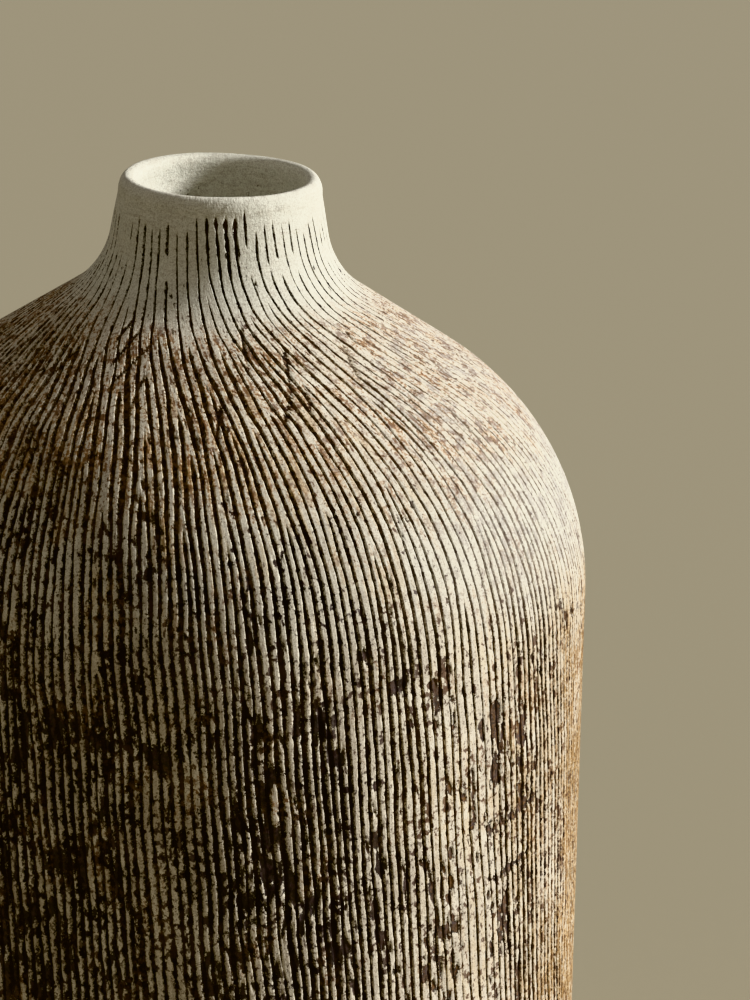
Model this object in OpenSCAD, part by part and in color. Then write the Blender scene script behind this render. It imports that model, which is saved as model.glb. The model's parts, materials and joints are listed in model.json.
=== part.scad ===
// Stoneware bottle vase: a cylindrical body, a domed shoulder and a short
// flared neck with a plain rounded lip, put together from the clay sections
// a potter lutes into one wall. The sections meet in stepped lap joints, and
// a soft coil of clay is pressed over every seam on the inside.
// Millimetres, +Z up, origin at the centre of the circle the foot rests on.

/* [Overall] */

// Height from the resting plane to the crest of the lip
vase_h = 330; // [300:5:360]
// Outside diameter where the shoulder springs from the wall
body_d = 222.4; // [210:0.4:240]
// How much wider the wall is at its bottom edge than at the shoulder
body_spread = 5; // [0:1:8]

/* [Wall] */

// Thickness of the wall, the shoulder and the crown
wall_t = 9; // [7:0.5:11]
// Height of the step in each lap joint between two sections
lap_h = 5; // [3:0.5:7]
// Radius of the clay coil pressed over a seam on the inside
coil_r = 4; // [3:0.5:6]

/* [Shoulder] */

// Radius of the round that turns the wall into the shoulder
shoulder_round = 82; // [70:1:86]
// Slope of the straight stretch of the shoulder above the horizontal
shoulder_slope = 33; // [28:1:36]
// Arc of the round that belongs to the shoulder section
shoulder_arc = 38; // [30:1:44]
// Distance along the slope from the flare down to the crown section
neck_skirt = 6; // [4:1:9]

/* [Neck] */

// Height of the lip above the corner where neck and shoulder slopes meet
neck_h = 28.7; // [25:0.1:34]
// Outside diameter of the lip
lip_d = 60; // [56:0.5:66]
// Outward lean of the neck wall going down
neck_lean = 10; // [8:1:14]
// Radius of the hollow curve between neck and shoulder
flare_round = 28; // [22:1:30]
// Lean of the inside of the neck going down
bore_lean = 3; // [1:1:5]
// Thickness of the lip, rounded over its whole width
lip_t = 5.2; // [4.4:0.2:6.4]
// Height of the plain rim band
rim_h = 11; // [9:1:14]

/* [Foot] */

// Thickness of the base slab
base_t = 10; // [8:1:13]
// Height of the foot ring under the slab
foot_h = 6; // [5:1:9]
// Width of the foot ring
foot_w = 10; // [8:1:14]
// Distance the foot ring stands in from the wall
foot_inset = 6.5; // [6:0.5:9]
// Bevel on the bottom edge of the wall
foot_bevel = 3; // [1:0.5:4]
// Radius of the coil fillet between the slab and the wall
base_fillet = 9; // [6:1:12]

/* [Hidden] */

// Facets of a whole turn in the preview
$fn = 180;
// Reach of the shapes that cut the section, past every edge of the vase
reach = 2 * vase_h;
// Courses of the body wall, one on another
courses = 3;

// A unit step along a direction given in degrees
function along(a) = [cos(a), sin(a)];
// The direction a quarter turn left of a given one
function left_of(a) = [-sin(a), cos(a)];
// The point where the line through p along a meets the line through q along b
function meet(p, a, q, b) =
    p + along(a) * ((q - p)[0] * sin(b) - (q - p)[1] * cos(b)) / sin(b - a);
// Distance from a corner to where a round of radius r touches its sides
function setback(r, a, b) = r * tan(abs(b - a) / 2);
// Centre of the round of radius r in the corner v, turning from a to b
function round_centre(v, a, b, r) =
    v - along(a) * setback(r, a, b) + left_of(a) * sign(b - a) * r;
// Radius of a line through p along a, at the height z
function radius_at(p, a, z) = p[0] + (z - p[1]) * cos(a) / sin(a);

// Directions of the outside, going up the section
shoulder_turn = 180 - shoulder_slope;
neck_turn = 90 + neck_lean;
bore_turn = 90 + bore_lean;

// Corner of the outside between the neck and the shoulder slope
lip_r = lip_d / 2;
neck_top = [lip_r, vase_h - lip_t];
neck_corner = meet(neck_top, neck_turn, [0, vase_h - neck_h], 0);

// Wall line, and its corner with the shoulder slope
spring_r = body_d / 2;
body_corner_z = neck_corner[1] - (spring_r - neck_corner[0]) * tan(shoulder_slope);
body_turn = 90 + atan(body_spread / 2 / body_corner_z);
wall_foot = [spring_r + body_spread / 2, foot_h];
body_corner = meet(wall_foot, body_turn, neck_corner, shoulder_turn);

// The round of the shoulder and the hollow of the flare
shoulder_c = round_centre(body_corner, body_turn, shoulder_turn, shoulder_round);
shoulder_set = setback(shoulder_round, body_turn, shoulder_turn);
round_low = body_corner - along(body_turn) * shoulder_set;
round_high = body_corner + along(shoulder_turn) * shoulder_set;
flare_c = round_centre(neck_corner, shoulder_turn, neck_turn, flare_round);
flare_set = setback(flare_round, shoulder_turn, neck_turn);
flare_low = neck_corner - along(shoulder_turn) * flare_set;
flare_high = neck_corner + along(neck_turn) * flare_set;

// The same lines on the inside, one wall thickness in
floor_z = foot_h + base_t;
in_shift = left_of(body_turn) * wall_t;
in_slope_shift = left_of(shoulder_turn) * wall_t;
in_corner = meet(wall_foot + in_shift, body_turn,
                 neck_corner + in_slope_shift, shoulder_turn);
in_foot = [radius_at(in_corner, body_turn, floor_z), floor_z];
in_round = shoulder_round - wall_t;
in_set = setback(in_round, body_turn, shoulder_turn);
in_low = in_corner - along(body_turn) * in_set;
in_high = in_corner + along(shoulder_turn) * in_set;
bore_top = [lip_r - lip_t, vase_h - lip_t / 2];
bore_corner = meet(bore_top, bore_turn, in_corner, shoulder_turn);
bore_round = flare_round + wall_t / 2;
bore_set = setback(bore_round, shoulder_turn, bore_turn);
bore_low = bore_corner - along(shoulder_turn) * bore_set;
bore_high = bore_corner + along(bore_turn) * bore_set;
bore_c = round_centre(bore_corner, shoulder_turn, bore_turn, bore_round);

// Seams, each a point on the outside and the direction of the wall there
course_h = (round_low[1] - foot_h) / courses;
seam_1 = [radius_at(wall_foot, body_turn, foot_h + course_h), foot_h + course_h];
seam_2 = [radius_at(wall_foot, body_turn, foot_h + 2 * course_h),
          foot_h + 2 * course_h];
crown_dir = body_turn + shoulder_arc;
crown_seam = shoulder_c - left_of(crown_dir) * shoulder_round;
neck_seam = flare_low - along(shoulder_turn) * neck_skirt;
rim_seam = [radius_at(neck_top, neck_turn, vase_h - rim_h), vase_h - rim_h];
rim_step = lip_t / 2;

// Foot ring and the tongue that keys it into the slab
ring_out = wall_foot[0] - foot_inset;
ring_in = ring_out - foot_w;
tongue_w = foot_w / 3;
tongue_h = base_t / 4;
ring_edge = 2;
slab_r = wall_foot[0] - wall_t / 2;

// Colours of the preview
slip_tint = [0.80, 0.76, 0.66];
clay_tint = [0.58, 0.44, 0.33];
coil_tint = [0.66, 0.52, 0.40];

// Everything inside the outer face of the vase, from the wall's foot to the lip
module outer_section() {
    difference() {
        polygon([[0, foot_h],
                 [wall_foot[0] - foot_bevel, foot_h],
                 [radius_at(wall_foot, body_turn, foot_h + foot_bevel),
                  foot_h + foot_bevel],
                 round_low, shoulder_c, round_high, flare_low, flare_c,
                 flare_high, neck_top, [0, vase_h - lip_t]]);
        translate(flare_c) circle(r = flare_round);
    }
    intersection() {
        translate(shoulder_c) circle(r = shoulder_round);
        polygon([shoulder_c, round_low, body_corner, round_high]);
    }
}

// The hollow of the vase, from the slab up through the mouth
module hollow_section() {
    difference() {
        polygon([[0, floor_z], in_foot, in_low, shoulder_c, in_high, bore_low,
                 bore_c, bore_high, bore_top, [lip_r - lip_t, reach],
                 [0, reach]]);
        translate(bore_c) circle(r = bore_round);
    }
    intersection() {
        translate(shoulder_c) circle(r = in_round);
        polygon([shoulder_c, in_low, in_corner, in_high]);
    }
}

// The clay wall cut through, with the lip rounded over
module wall_section() {
    difference() {
        union() {
            outer_section();
            translate([lip_r - lip_t, vase_h - lip_t])
                square([lip_t, lip_t / 2]);
            translate([lip_r - lip_t / 2, vase_h - lip_t / 2])
                circle(d = lip_t);
        }
        hollow_section();
        slab_section();
    }
}

// The base slab: full width below, let into the wall by half its thickness
module slab_section() {
    translate([0, foot_h]) square([slab_r, base_t / 2]);
    translate([0, foot_h]) square([in_foot[0], base_t]);
}

// The part of the section on the lip's side of a seam, with the lap's step
module above(seam, turn, depth, step) {
    translate(seam)
        rotate(turn - 90)
            polygon([[reach, 0], [-depth, 0], [-depth, step],
                     [-reach, step], [-reach, reach], [reach, reach]]);
}

// One stretch of the wall, between two seams
module above_seam(i) {
    if (i == 0) translate([0, -reach / 2]) square([reach, 2 * reach]);
    if (i == 1) above(seam_1, 90, wall_t / 2, lap_h);
    if (i == 2) above(seam_2, 90, wall_t / 2, lap_h);
    if (i == 3) above(round_low, 90, wall_t / 2, lap_h);
    if (i == 4) above(crown_seam, crown_dir, wall_t / 2, lap_h);
    if (i == 5) above(neck_seam, shoulder_turn, wall_t / 2, lap_h);
    if (i == 6) above(rim_seam, 90, lip_t / 2, rim_step);
}

// The wall from seam i up to the next one, turned about the axis
module stretch(i) {
    rotate_extrude()
        difference() {
            intersection() {
                wall_section();
                above_seam(i);
            }
            above_seam(i + 1);
        }
}

// A coil of clay pressed against the inner face, over a seam
module seam_coil(seam, turn) {
    rotate_extrude()
        intersection() {
            translate(seam + left_of(turn) * wall_t + along(turn) * lap_h)
                circle(r = coil_r);
            hollow_section();
        }
}

module foot_ring() {
    color(clay_tint)
    rotate_extrude() {
        translate([ring_in, ring_edge])
            square([foot_w, foot_h - ring_edge]);
        translate([ring_in + ring_edge, 0])
            square([foot_w - 2 * ring_edge, foot_h]);
        for (r = [ring_in + ring_edge, ring_out - ring_edge])
            translate([r, ring_edge]) circle(r = ring_edge);
        tongue_section();
    }
}

// The tongue on top of the foot ring
module tongue_section() {
    translate([(ring_in + ring_out - tongue_w) / 2, foot_h])
        square([tongue_w, tongue_h]);
}

module base_disc() {
    color(clay_tint)
    rotate_extrude()
        difference() {
            slab_section();
            tongue_section();
        }
}

module base_seam_coil() {
    fillet_c = [in_foot[0] - base_fillet, floor_z + base_fillet];
    color(coil_tint)
    rotate_extrude()
        difference() {
            intersection() {
                translate(fillet_c - [0, base_fillet])
                    square([2 * base_fillet, base_fillet]);
                hollow_section();
            }
            translate(fillet_c) circle(r = base_fillet);
        }
}

module lower_wall() { color(slip_tint) stretch(0); }

module lower_seam_coil() { color(coil_tint) seam_coil(seam_1, 90); }

module middle_wall() { color(slip_tint) stretch(1); }

module upper_seam_coil() { color(coil_tint) seam_coil(seam_2, 90); }

module upper_wall() { color(slip_tint) stretch(2); }

module shoulder_seam_coil() { color(coil_tint) seam_coil(round_low, 90); }

module shoulder() { color(slip_tint) stretch(3); }

module crown_seam_coil() { color(coil_tint) seam_coil(crown_seam, crown_dir); }

module crown() { color(slip_tint) stretch(4); }

module neck_seam_coil() {
    color(coil_tint) seam_coil(neck_seam, shoulder_turn);
}

module neck() { color(slip_tint) stretch(5); }

module rim() { color(slip_tint) stretch(6); }

foot_ring();
base_disc();
base_seam_coil();
lower_wall();
lower_seam_coil();
middle_wall();
upper_seam_coil();
upper_wall();
shoulder_seam_coil();
shoulder();
crown_seam_coil();
crown();
neck_seam_coil();
neck();
rim();
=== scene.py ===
"""Stoneware bottle vase, combed through a cream slip: the visual model.

Metres, same frame as the CAD part: +Z up, origin at the centre of the foot.
Lengths below are written in millimetres and scaled by MM when meshes are made.
"""
import json
import math

import bpy
import numpy as np
from mathutils import Matrix, Vector

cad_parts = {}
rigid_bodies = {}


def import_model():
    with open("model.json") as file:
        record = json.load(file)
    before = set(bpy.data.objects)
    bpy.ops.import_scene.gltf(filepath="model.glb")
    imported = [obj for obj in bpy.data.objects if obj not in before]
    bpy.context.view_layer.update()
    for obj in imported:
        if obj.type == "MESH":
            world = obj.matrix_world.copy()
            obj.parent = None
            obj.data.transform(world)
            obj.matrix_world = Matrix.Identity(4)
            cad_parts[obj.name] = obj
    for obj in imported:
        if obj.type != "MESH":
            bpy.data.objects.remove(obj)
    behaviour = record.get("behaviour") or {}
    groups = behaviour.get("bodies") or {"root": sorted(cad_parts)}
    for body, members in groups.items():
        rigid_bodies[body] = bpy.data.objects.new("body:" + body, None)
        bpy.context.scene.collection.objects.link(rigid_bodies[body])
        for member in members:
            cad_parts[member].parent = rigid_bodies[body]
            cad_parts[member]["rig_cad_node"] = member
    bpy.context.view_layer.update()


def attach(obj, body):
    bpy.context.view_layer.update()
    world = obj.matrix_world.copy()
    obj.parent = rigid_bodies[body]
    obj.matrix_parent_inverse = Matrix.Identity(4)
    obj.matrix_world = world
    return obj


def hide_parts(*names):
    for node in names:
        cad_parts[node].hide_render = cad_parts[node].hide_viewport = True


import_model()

MM = 0.001
SEED = 4127
TAU = 2 * math.pi

# ------------------------------------------------------------------ sizes, mm
VASE_H = 330.0
BODY_R = 111.2          # where the wall meets the shoulder's slope, at the corner before its round
BODY_SPREAD = 2.5       # how much wider the wall stands at its foot
WALL_T = 9.0
LAP_H = 5.0             # height of the step of a lap joint
SHOULDER_ROUND = 82.0
SHOULDER_SLOPE = 33.0   # degrees from level
SHOULDER_ARC = 38.0     # how much of the round, in degrees, is the shoulder's; the rest is the crown's
NECK_SKIRT = 6.0        # how far the neck's section runs down the slope
NECK_H = 28.7
LIP_R = 30.0
NECK_LEAN = 10.0        # degrees from upright
FLARE_ROUND = 28.0
BORE_LEAN = 3.0         # degrees from upright
LIP_T = 5.2
LIP_DROP = 4.7          # height of the soft outer edge of the lip
RIM_H = 11.0
BASE_T = 10.0
FOOT_H = 6.0
FOOT_BEVEL = 3.0
COURSES = 3             # sections of the body's wall

# ---------------------------------------------------------------- mesh detail
COLUMNS = 2880          # columns of the scored wall, about 11 to a groove
NECK_ROW = 0.7          # row spacing where the comb strokes start
BODY_ROW = 1.32         # row spacing on the body
FINE_TO = 42.0          # distance below the lip where rows start to widen
INNER_ROW = 7.0         # row spacing on inner faces
BORE_ROW = 1.5          # row spacing inside the mouth
STRIPS = 3              # strips each ring is unrolled into for its baked colours
OUTSIDE_SHARE = 0.82    # part of the baked map that the outside gets
MAP_GAP, MAP_EDGE = 0.01, 0.002     # space left at the ends of each strip and beside it


# ---------------------------------------------------------- the turned section
def along(a):
    """Unit vector at a degrees."""
    return np.array([math.cos(math.radians(a)), math.sin(math.radians(a))])


def left_of(a):
    """Unit vector to the left of along(a)."""
    return np.array([-math.sin(math.radians(a)), math.cos(math.radians(a))])


def meet(p, a, q, b):
    """Point where the line through p along a meets the line through q along b."""
    d, e, w = along(a), along(b), np.asarray(q, float) - np.asarray(p, float)
    return np.asarray(p, float) + d * (w[0] * e[1] - w[1] * e[0]) / (d[0] * e[1] - d[1] * e[0])


def setback(r, a, b):
    """Distance from a corner to the start of its round."""
    return r * math.tan(math.radians(abs(b - a)) / 2)


def round_centre(v, a, b, r):
    """Centre of the round at corner v, between directions a and b."""
    return v - along(a) * setback(r, a, b) + left_of(a) * (1 if b > a else -1) * r


def radius_at(p, a, z):
    """Radius at height z of the line through p along a."""
    return p[0] + (z - p[1]) / math.tan(math.radians(a))


def arc_points(c, r, a0, a1, step=0.25):
    """Points of an arc, angles in degrees."""
    n = max(6, int(abs(math.radians(a1 - a0)) * r / step))
    t = np.radians(np.linspace(a0, a1, n + 1))
    return np.stack([c[0] + r * np.cos(t), c[1] + r * np.sin(t)], 1)


SLOPE_TURN = 180 - SHOULDER_SLOPE
NECK_TURN = 90 + NECK_LEAN
BORE_TURN = 90 + BORE_LEAN
neck_top = np.array([LIP_R, VASE_H - LIP_T])
neck_corner = meet(neck_top, NECK_TURN, [0, VASE_H - NECK_H], 0)
body_corner_z = neck_corner[1] - (BODY_R - neck_corner[0]) * math.tan(math.radians(SHOULDER_SLOPE))
BODY_TURN = 90 + math.degrees(math.atan(BODY_SPREAD / body_corner_z))
wall_foot = np.array([BODY_R + BODY_SPREAD, FOOT_H])
body_corner = meet(wall_foot, BODY_TURN, neck_corner, SLOPE_TURN)
shoulder_c = round_centre(body_corner, BODY_TURN, SLOPE_TURN, SHOULDER_ROUND)
shoulder_set = setback(SHOULDER_ROUND, BODY_TURN, SLOPE_TURN)
round_low = body_corner - along(BODY_TURN) * shoulder_set
flare_c = round_centre(neck_corner, SLOPE_TURN, NECK_TURN, FLARE_ROUND)
flare_set = setback(FLARE_ROUND, SLOPE_TURN, NECK_TURN)
flare_low = neck_corner - along(SLOPE_TURN) * flare_set

FLOOR_Z = FOOT_H + BASE_T
in_corner = meet(wall_foot + left_of(BODY_TURN) * WALL_T, BODY_TURN,
                 neck_corner + left_of(SLOPE_TURN) * WALL_T, SLOPE_TURN)
in_foot = np.array([radius_at(in_corner, BODY_TURN, FLOOR_Z), FLOOR_Z])
in_round = SHOULDER_ROUND - WALL_T
bore_top = np.array([LIP_R - LIP_T, VASE_H - LIP_T / 2])
bore_corner = meet(bore_top, BORE_TURN, in_corner, SLOPE_TURN)
bore_round = FLARE_ROUND + WALL_T / 2
bore_c = round_centre(bore_corner, SLOPE_TURN, BORE_TURN, bore_round)
lip_c = np.array([LIP_R - LIP_T / 2, VASE_H - LIP_T / 2])


def outer_line():
    """The outside from the crest of the lip down to the wall's bottom edge."""
    up = 90.0
    turn = np.linspace(math.pi / 2, 0, 60)
    lip_edge = np.stack([lip_c[0] + LIP_T / 2 * np.cos(turn),
                         VASE_H - LIP_DROP + LIP_DROP * np.sin(turn)], 1)
    parts = [
        lip_edge,
        neck_top[None],
        arc_points(flare_c, FLARE_ROUND, NECK_TURN + up, SLOPE_TURN + up),
        arc_points(shoulder_c, SHOULDER_ROUND, SLOPE_TURN - up, BODY_TURN - up),
        np.array([[radius_at(wall_foot, BODY_TURN, FOOT_H + FOOT_BEVEL), FOOT_H + FOOT_BEVEL],
                  [wall_foot[0] - FOOT_BEVEL, FOOT_H]]),
    ]
    return np.concatenate(parts)


def inner_line():
    """The inside from the crest of the lip down to the floor."""
    up = 90.0
    parts = [
        arc_points(lip_c, LIP_T / 2, 90, 180, 0.1),
        arc_points(bore_c, bore_round, BORE_TURN + up, SLOPE_TURN + up),
        arc_points(shoulder_c, in_round, SLOPE_TURN - up, BODY_TURN - up),
        in_foot[None],
    ]
    return np.concatenate(parts)


class Track:
    """A section line by its length in mm from the crest of the lip."""

    def __init__(self, points):
        self.p = points
        self.s = np.concatenate([[0], np.cumsum(np.hypot(*np.diff(points, axis=0).T))])
        self.end = self.s[-1]

    def at(self, s):
        """Points at the lengths s."""
        return np.stack([np.interp(s, self.s, self.p[:, i]) for i in (0, 1)], -1)

    def near(self, q):
        """Length along the line at the point nearest to q."""
        fine = np.linspace(0, self.end, 24001)
        d = ((self.at(fine) - q) ** 2).sum(1)
        return fine[int(d.argmin())]


OUTER, INNER = Track(outer_line()), Track(inner_line())

JOINT_SEARCH = 12.0     # how far along the inside a joint's inner corner is looked for, mm
course_h = (round_low[1] - FOOT_H) / COURSES
crown_dir = BODY_TURN + SHOULDER_ARC


def wall_point(z):
    """Point on the outside of the body's wall."""
    return np.array([radius_at(wall_foot, BODY_TURN, z), z])


seams = [  # from the wall's foot up: point on the outside, direction, depth and height of step
    (wall_point(FOOT_H + course_h), 90, WALL_T / 2, LAP_H),
    (wall_point(FOOT_H + 2 * course_h), 90, WALL_T / 2, LAP_H),
    (round_low, 90, WALL_T / 2, LAP_H),
    (shoulder_c - left_of(crown_dir) * SHOULDER_ROUND, crown_dir, WALL_T / 2, LAP_H),
    (flare_low - along(SLOPE_TURN) * NECK_SKIRT, SLOPE_TURN, WALL_T / 2, LAP_H),
    (np.array([radius_at(neck_top, NECK_TURN, VASE_H - RIM_H), VASE_H - RIM_H]), 90, LIP_T / 2, LIP_T / 2),
]


def joint(seam):
    """Inner corner points of a lap joint, from the outside in, and where it meets the inside."""
    p, turn, depth, step = seam
    a = p + left_of(turn) * depth
    b = a + along(turn) * step
    s_in = INNER.near(b + left_of(turn) * depth)
    window = np.linspace(max(s_in - JOINT_SEARCH, 0), min(s_in + JOINT_SEARCH, INNER.end), 2401)
    pts = INNER.at(window)
    # the point of the inside that lies on the joint's own line
    best = int(np.abs((pts - b) @ along(turn)).argmin())
    return a, b, pts[best], window[best]


joints = [joint(s) for s in seams]
seam_s = [OUTER.near(s[0]) for s in seams]

# ------------------------------------------------------- noise over the surface
rng = np.random.default_rng(SEED)
PERM = np.tile(rng.permutation(256), 3)
GRAD = rng.normal(size=(256, 3))
GRAD /= np.linalg.norm(GRAD, axis=1)[:, None]
NOISE_GAIN = 1.6        # brings the noise to about -1 to 1


def noise3(x, y, z):
    """Smooth gradient noise, about -1 to 1, one feature per unit."""
    xi, yi, zi = (np.floor(v).astype(np.int64) for v in (x, y, z))
    xf, yf, zf = x - xi, y - yi, z - zi
    u, v, w = (t * t * t * (t * (t * 6 - 15) + 10) for t in (xf, yf, zf))
    total = 0.0
    for dx in (0, 1):
        for dy in (0, 1):
            for dz in (0, 1):
                h = PERM[PERM[PERM[(xi + dx) & 255] + ((yi + dy) & 255)] + ((zi + dz) & 255)]
                g = GRAD[h]
                dot = g[..., 0] * (xf - dx) + g[..., 1] * (yf - dy) + g[..., 2] * (zf - dz)
                wx = u if dx else 1 - u
                wy = v if dy else 1 - v
                wz = w if dz else 1 - w
                total = total + dot * wx * wy * wz
    return total * NOISE_GAIN


def smooth(lo, hi, x):
    """0 below lo, 1 above hi, with a soft rise between."""
    t = np.clip((x - lo) / (hi - lo), 0, 1)
    return t * t * (3 - 2 * t)


# ----------------------------------------------------------- the comb's strokes
PITCH_NECK = 2.95       # distance between strokes on the neck and the crown, mm
PITCH_BODY = 2.76       # and on the body
SIM_STEP = 0.5          # step of the stroke tracer down the wall, mm
BODY_LEAN = 5.2         # lean of the strokes on the body, degrees
SHOULDER_LEAN = 15.0    # how much more they lean on the crown
FIRST_COUNT = 67        # strokes that start on the neck
SECOND_START = 22.0     # from here down new strokes start between the first, mm
CROSS_COUNT = 46        # cross strokes on the crown
CROSS_TOP, CROSS_LOW = 34, 72       # where they start, mm below the lip's crest
CROSS_LENGTH, CROSS_LEAN = (7, 26), (-26, 2)        # mm, and degrees from the meridian
CROSS_STRENGTH, CROSS_HALF = (0.5, 0.9), (0.42, 0.66)       # half of their width, mm
FRONT = math.radians(-90)
FRONT_REACH = 0.30      # half the angle of the front, where strokes start higher, radians
LIP_GAP, FRONT_GAP = (7.5, 13.0), (3.4, 7.0)        # where the first strokes start, mm
EAGER = (0.88, 1.12)    # how soon the gap after a stroke is split, a factor
EVENING = 0.12          # how fast a stroke moves to the middle of its neighbours, per mm
WANDER_KEEP, WANDER_KICK = 0.955, 0.0075    # wander of a stroke's direction
SWELL_KEEP, SWELL_KICK = 0.975, 0.222       # wander of its width and strength
SKIPPING = 0.30         # share of the first strokes that skip for a few mm


def lean_at(s):
    """Lean of the strokes from the meridian, to the right going down, degrees."""
    rise, fall = smooth(14, 42, s), 1 - smooth(48, 138, s)
    return BODY_LEAN + SHOULDER_LEAN * rise * fall


sim_s = np.arange(0.0, OUTER.end + SIM_STEP, SIM_STEP)
sim_r = OUTER.at(sim_s)[:, 0]
drift_rate = np.tan(np.radians(lean_at(sim_s))) / np.maximum(sim_r, 20)
sim_drift = np.concatenate([[0], np.cumsum((drift_rate[1:] + drift_rate[:-1]) / 2 * SIM_STEP)])


def drift(s):
    """Angle the strokes have turned through by s."""
    return np.interp(s, sim_s, sim_drift)


def pitch_at(s):
    """Distance between strokes, mm."""
    return PITCH_NECK + (PITCH_BODY - PITCH_NECK) * smooth(55, 100, s)


def trace_strokes():
    """Angles, strengths and widths of every stroke down the wall, in the drifting frame."""
    r = np.random.default_rng(SEED + 1)
    cap = int(TAU * sim_r.max() / PITCH_BODY) + 2
    n = FIRST_COUNT
    phi = (np.arange(n) + r.uniform(-0.20, 0.20, n)) / n * TAU
    ident = np.arange(n)
    born = r.uniform(*LIP_GAP, n)
    front = np.abs((phi - FRONT + math.pi) % TAU - math.pi)
    born = np.where(front < FRONT_REACH, r.uniform(*FRONT_GAP, n), born)
    eager = r.uniform(*EAGER, n)
    wobble = np.zeros(n)
    swell = r.normal(size=n)
    out_phi = np.full((len(sim_s), cap), np.nan)
    out_amp = np.zeros((len(sim_s), cap))
    out_wid = np.ones((len(sim_s), cap))
    tag_wid = np.exp(r.normal(0, 0.13, cap))
    tag_gap = r.uniform(0, 1, cap)
    gap_at = r.uniform(14, 20, cap)
    gap_len = r.uniform(3, 10, cap)
    taper = r.uniform(5, 12, cap)
    for j, (s, rad) in enumerate(zip(sim_s, sim_r)):
        rad = max(rad, 20.0)
        want = int(TAU * rad / pitch_at(s)) if s > SECOND_START else n
        while len(phi) < want:
            gap = np.append(phi[1:], phi[0] + TAU) - phi
            k = int((gap * eager).argmax())
            phi = np.insert(phi, k + 1, phi[k] + gap[k] * r.uniform(0.42, 0.58))
            ident = np.insert(ident, k + 1, len(ident))
            born = np.insert(born, k + 1, s + r.uniform(0, 4))
            eager[k] = r.uniform(*EAGER)
            eager = np.insert(eager, k + 1, r.uniform(*EAGER))
            wobble = np.insert(wobble, k + 1, 0.0)
            swell = np.insert(swell, k + 1, r.normal())
        before, after = np.roll(phi, 1), np.roll(phi, -1)
        before[0] -= TAU
        after[-1] += TAU
        pull = EVENING * SIM_STEP * ((before + after) / 2 - phi)
        wobble = wobble * WANDER_KEEP + r.normal(0, WANDER_KICK, len(phi))
        phi = phi + pull + wobble * SIM_STEP / rad
        swell = swell * SWELL_KEEP + r.normal(0, SWELL_KICK, len(phi))
        amp = smooth(0, 1, (s - born) / np.where(born > 20, taper[ident], 3.4))
        amp = amp * np.clip(1.05 + 0.25 * swell, 0.15, 1.3)
        skip = (tag_gap[ident] < SKIPPING) & (born < 20)
        hole = smooth(-1, 1, s - gap_at[ident]) * (1 - smooth(-1, 2, s - gap_at[ident] - gap_len[ident]))
        amp = np.where(skip, amp * (1 - hole), amp)
        out_phi[j, ident] = phi
        out_amp[j, ident] = amp
        out_wid[j, ident] = tag_wid[ident] * (1 + 0.10 * np.clip(swell, -1.5, 1.5))
    return out_phi, out_amp, out_wid


# rows of the scored wall, with a row exactly on every seam
marks = [0.0] + sorted(seam_s) + [OUTER.near(np.array([wall_foot[0], FOOT_H + FOOT_BEVEL])), OUTER.end]
row_s, seam_row = [0.0], {}
for lo_s, hi_s in zip(marks[:-1], marks[1:]):
    step = NECK_ROW if hi_s < FINE_TO + 8 else BODY_ROW
    k = max(1, int(round((hi_s - lo_s) / step)))
    row_s += list(np.linspace(lo_s, hi_s, k + 1)[1:])
    seam_row[round(hi_s, 6)] = len(row_s) - 1
row_s = np.array(row_s)
row_p = OUTER.at(row_s)
row_drift = drift(row_s)
tang = OUTER.at(np.minimum(row_s + 0.2, OUTER.end)) - OUTER.at(np.maximum(row_s - 0.2, 0))
tang /= np.linalg.norm(tang, axis=1)[:, None]
row_n = np.stack([-tang[:, 1], tang[:, 0]], 1)      # outward

col_phi = np.arange(COLUMNS) / COLUMNS * TAU
GROOVE_D = 0.85         # depth of a stroke at full strength, mm
NECK_HALF = 0.50        # half-width of a stroke on the neck, mm
CROWN_HALF = 0.66       # and on the crown
BODY_HALF = 0.84        # and on the body
EDGE_LEVEL = 0.62       # value of the nearness field at the edge of a stroke
CUT_WIDTH = 0.864       # width of the cut for the width of the dark clay that shows
CUT_FLOOR, CUT_EDGE = 0.62, 0.94    # where its side starts and ends, part of the half width

PHI, S = np.meshgrid(col_phi, row_s)
THETA = PHI + row_drift[:, None]
RAD = row_p[:, 0][:, None] * np.ones_like(PHI)
CX, CY = RAD * np.cos(PHI), RAD * np.sin(PHI)


def surface_noise(across, down, shift):
    """Noise with features `across` mm wide and `down` mm long, laid along the strokes."""
    return noise3(CX / across + shift, CY / across + 2.3 * shift, S / down - 1.7 * shift)


def azimuth_bump(centre_deg, half_deg):
    """1 at an azimuth of the pot, falling to 0 half_deg away."""
    d = np.abs((THETA - math.radians(centre_deg) + math.pi) % TAU - math.pi)
    return 1 - smooth(0, 1, d / math.radians(half_deg))


def height_bump(centre, half):
    """1 at a distance below the lip, falling to 0 half away, mm."""
    return 1 - smooth(0, 1, np.abs(S - centre) / half)


# Where the strokes are wide, the slip is chipped, worn or stained: regions round the pot
meander = 0.95 * surface_noise(40, 36, 5.1) + 0.22 * surface_noise(12, 14, 9.3)
dark_side = 0.5 + 0.5 * np.cos(THETA - math.radians(-135))
lit_side = 1 - smooth(25, 64, np.abs(np.degrees(
    (THETA - math.radians(-5) + math.pi) % TAU - math.pi)))
pale_side = lit_side * smooth(28, 60, S) * (1 - smooth(130, 160, S))
low_body = smooth(125, 200, S)
right_low = azimuth_bump(6, 48) * smooth(140, 180, S)
front_mark = azimuth_bump(-84, 21) * (1 - smooth(15, 26, S))
blot = 0.5 + 0.9 * surface_noise(1.6, 2.8, 7.1)
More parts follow.
